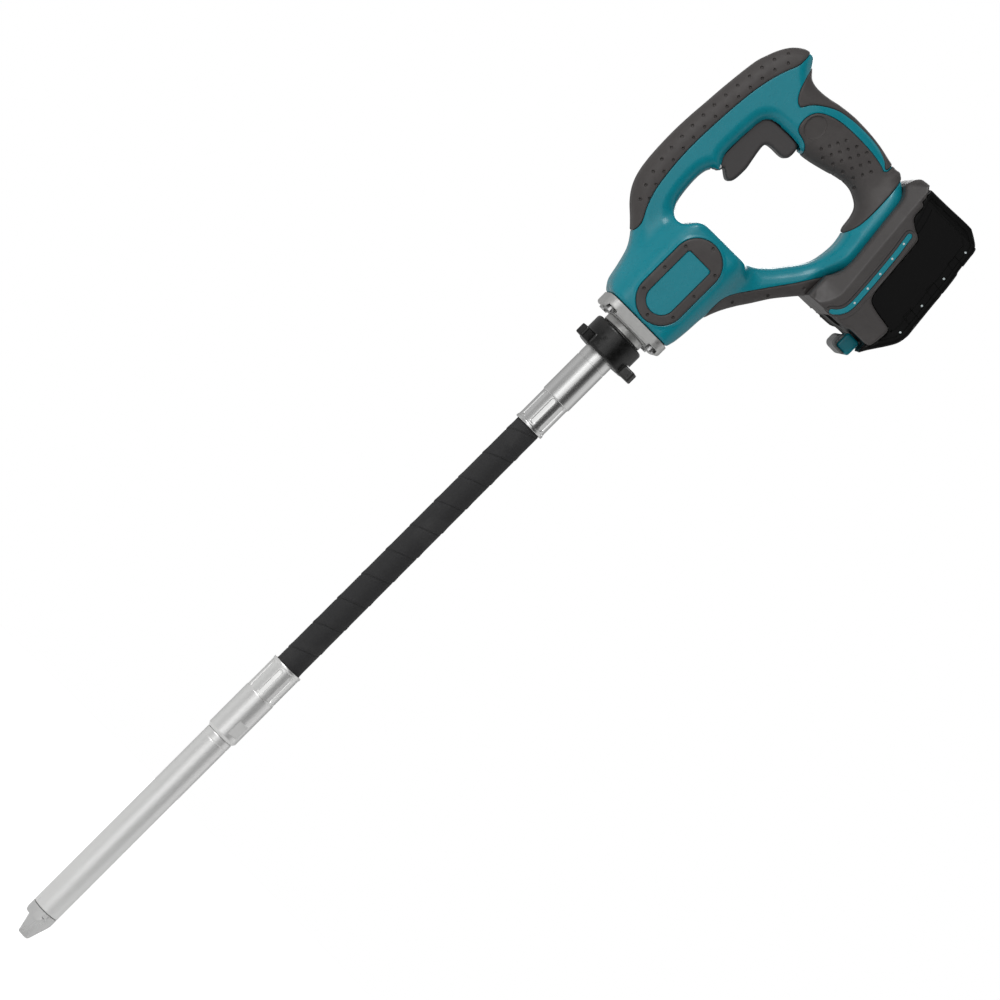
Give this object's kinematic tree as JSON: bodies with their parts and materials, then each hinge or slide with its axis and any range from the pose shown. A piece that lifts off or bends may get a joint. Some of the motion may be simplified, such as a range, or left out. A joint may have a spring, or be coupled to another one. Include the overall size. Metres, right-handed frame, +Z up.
{
  "type": "concrete vibrator",
  "caption": "Cordless concrete vibrator: D-handle drive unit with slide-on battery, winged coupling nut, flexible hose section and slim steel vibrating head.",
  "frame": {"origin": "centre of the nose's flat end face", "axes": "+Z up the rod towards the handle, +X in the housing's middle plane towards the battery, Y across the housing; the trigger hand opening lies in the XZ plane"},
  "size_m": [0.247, 0.0774, 0.9465],
  "materials": {
    "teal_plastic": "gloss moulded plastic",
    "grey_rubber": "matte soft overmould",
    "trigger_plastic": "matte",
    "foot_plastic": "fine textured",
    "battery_plastic": "satin black",
    "cast_metal": "as cast, lightly blasted",
    "bright_metal": "plated, satin",
    "nut_metal": "black oxide",
    "hose_rubber": "matte cloth-wrapped rubber",
    "steel": "machined",
    "copper": "machined",
    "carbon": "pressed carbon",
    "dark_plastic": "matte",
    "cells": "wrapped cells; aluminium stands in for their mean density"
  },
  "bodies": {
    "drive_unit": {"housing_near": "teal_plastic", "housing_far": "teal_plastic", "badge_plate_near": "teal_plastic", "badge_plate_far": "teal_plastic", "stripe_near": "teal_plastic", "stripe_far": "teal_plastic", "front_grip_near": "grey_rubber", "front_grip_far": "grey_rubber", "rear_grip_near": "grey_rubber", "rear_grip_far": "grey_rubber", "spine_grip_near": "grey_rubber", "spine_grip_far": "grey_rubber", "strut_bumper_near": "grey_rubber", "strut_bumper_far": "grey_rubber", "badge_ring_near": "grey_rubber", "badge_ring_far": "grey_rubber", "oil_seal": "grey_rubber", "foot_near": "foot_plastic", "foot_far": "foot_plastic", "flange": "cast_metal", "boss": "cast_metal", "motor_can": "cast_metal", "nose": "bright_metal", "head_tube": "bright_metal", "lower_sleeve": "bright_metal", "upper_sleeve": "bright_metal", "hose": "hose_rubber", "brush_left": "carbon", "brush_right": "carbon", "switch_body": "dark_plastic", "terminal_block": "dark_plastic", "head_bearing_lower": "steel", "head_bearing_upper": "steel", "motor_bearing_lower": "steel", "motor_bearing_upper": "steel", "trigger_pin": "steel", "flange_screw_1": "steel", "flange_screw_2": "steel", "flange_screw_3": "steel", "flange_screw_4": "steel", "housing_screw_1": "steel", "housing_screw_2": "steel", "housing_screw_3": "steel", "housing_screw_4": "steel"},
    "rotor": {"armature": "steel", "commutator": "copper", "motor_shaft": "steel", "fan": "dark_plastic", "drive_coupling": "steel", "flex_shaft": "steel", "eccentric_weight": "steel"},
    "nut": {"coupling_nut": "nut_metal"},
    "trigger": {"trigger": "trigger_plastic"},
    "plunger": {"switch_plunger": "trigger_plastic", "plunger_spring": "steel"},
    "battery": {"battery_lower_case": "battery_plastic", "battery_upper_case": "battery_plastic", "cell_pack": "cells", "button_guard": "foot_plastic"},
    "button": {"battery_button": "teal_plastic"}
  },
  "joints": [
    {"name": "rotor_spin", "type": "hinge", "parent": "drive_unit", "child": "rotor", "pos_m": [0, 0, 0.4], "axis": [0, 0, 1], "continuous": true},
    {"name": "nut_turn", "type": "hinge", "parent": "drive_unit", "child": "nut", "pos_m": [0, 0, 0.667], "axis": [0, 0, 1], "range_deg": [0, 360]},
    {"name": "trigger_pull", "type": "hinge", "parent": "drive_unit", "child": "trigger", "pos_m": [-0.0405, 0, 0.8295], "axis": [0, -1, 0], "range_deg": [0, 6], "stiffness_Nm_per_rad": 2, "springref_deg": -4.58},
    {"name": "plunger_slide", "type": "slide", "parent": "drive_unit", "child": "plunger", "axis": [-1, 0, 0], "range_m": [0, 0.0035], "deforming": ["plunger_spring"]},
    {"name": "battery_slide", "type": "slide", "parent": "drive_unit", "child": "battery", "axis": [0.1132, 0, -0.9936], "range_m": [0, 0.12]},
    {"name": "button_press", "type": "slide", "parent": "battery", "child": "button", "axis": [0.9936, 0, 0.1132], "range_m": [0, 0.003], "stiffness_N_per_m": 400, "springref_m": -0.002}
  ],
  "couplings": [
    {"joint": "plunger_slide", "follows": "trigger_pull", "m_per_rad": 0.0325}
  ]
}
